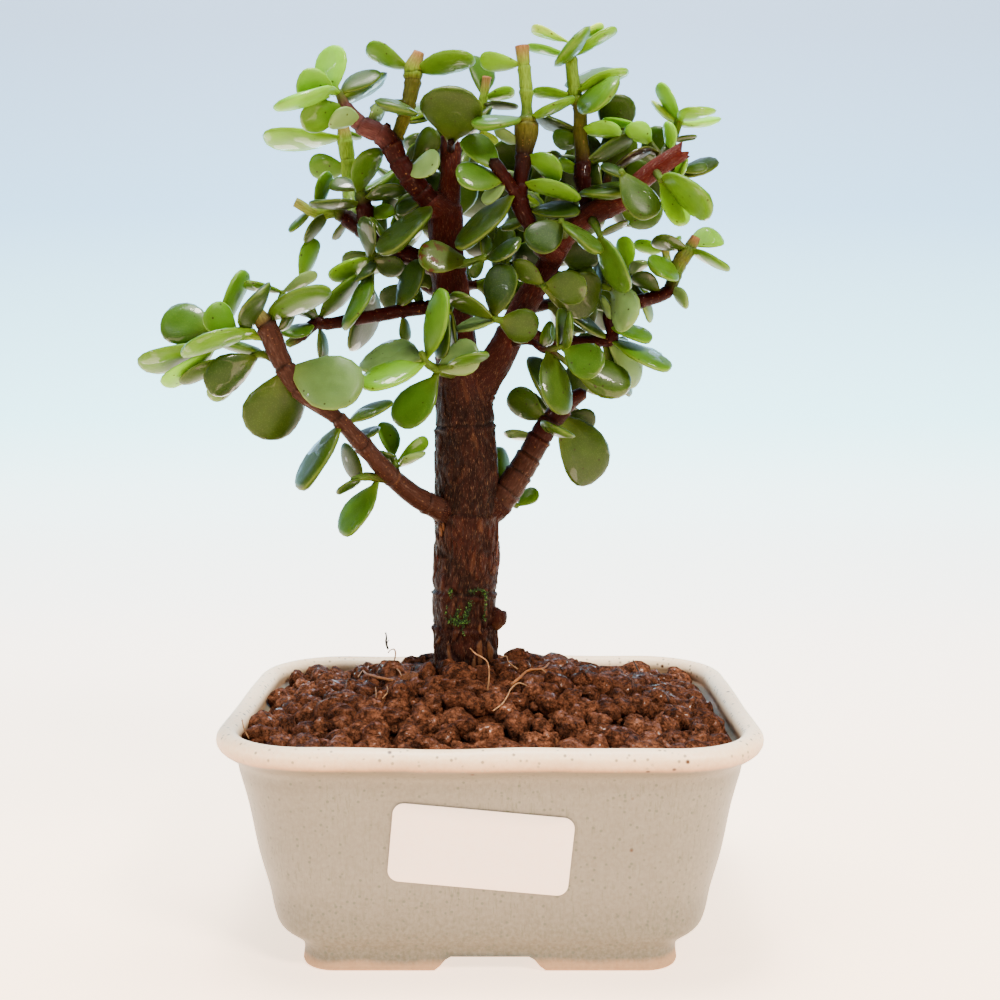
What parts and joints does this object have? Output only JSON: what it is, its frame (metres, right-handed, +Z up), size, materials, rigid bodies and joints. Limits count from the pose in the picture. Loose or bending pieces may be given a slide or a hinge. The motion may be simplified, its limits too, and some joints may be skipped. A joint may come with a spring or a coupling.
{
  "type": "dwarf jade bonsai",
  "caption": "Small dwarf jade tree with a bare trunk, red forking limbs and plump green leaves, standing in red-brown granules in a glazed rectangular pot.",
  "frame": {"origin": "centre of the whole tree and pot in plan, on the surface the pot stands on", "axes": "+Z up the trunk, the pot's front with the sticker toward -Y, the long left branch toward -X"},
  "size_m": [0.1724, 0.1214, 0.2594],
  "materials": {
    "glazed_stoneware": "warm grey-green speckled glaze, thin and cream-pink on the rim, bare tan clay under the foot",
    "soil_granules": "damp red-brown baked clay granules, matt with small wet glints",
    "bark": "damp dark red-brown bark, fissured low down, smooth and dark red on the young limbs",
    "jade_foliage": "waxy plump leaves, mid to olive green with paler rims, lime when young",
    "blank_sticker": "blank white coated paper",
    "net_plastic": "black moulded net"
  },
  "bodies": {
    "root": {"branch_left_low": "jade_foliage", "branch_left_mid": "jade_foliage", "branch_left_upper": "jade_foliage", "branch_right": "jade_foliage", "branch_right_low": "jade_foliage", "branch_top_left": "jade_foliage", "branch_top_right": "jade_foliage", "drain_net": "net_plastic", "label": "blank_sticker", "pot": "glazed_stoneware", "shoot_back_centre": "jade_foliage", "shoot_back_crown": "jade_foliage", "shoot_back_left": "jade_foliage", "shoot_back_low": "jade_foliage", "shoot_back_right": "jade_foliage", "shoot_back_stub": "jade_foliage", "shoot_back_top_right": "jade_foliage", "shoot_fork_right": "jade_foliage", "shoot_glossy_pair": "jade_foliage", "shoot_inner_centre": "jade_foliage", "shoot_inner_left": "jade_foliage", "shoot_inner_lower": "jade_foliage", "shoot_inner_right": "jade_foliage", "shoot_inner_top": "jade_foliage", "shoot_inner_upper_left": "jade_foliage", "shoot_pale_sage": "jade_foliage", "shoot_red_end": "jade_foliage", "shoot_red_front": "jade_foliage", "shoot_red_middle": "jade_foliage", "shoot_right_upper": "jade_foliage", "shoot_round_pair": "jade_foliage", "shoot_top_centre": "jade_foliage", "shoot_top_right_centre": "jade_foliage", "shoot_trunk_front": "jade_foliage", "shoot_trunk_hanging": "jade_foliage", "shoot_trunk_top": "jade_foliage", "soil": "soil_granules", "trunk": "bark"}
  },
  "joints": []
}
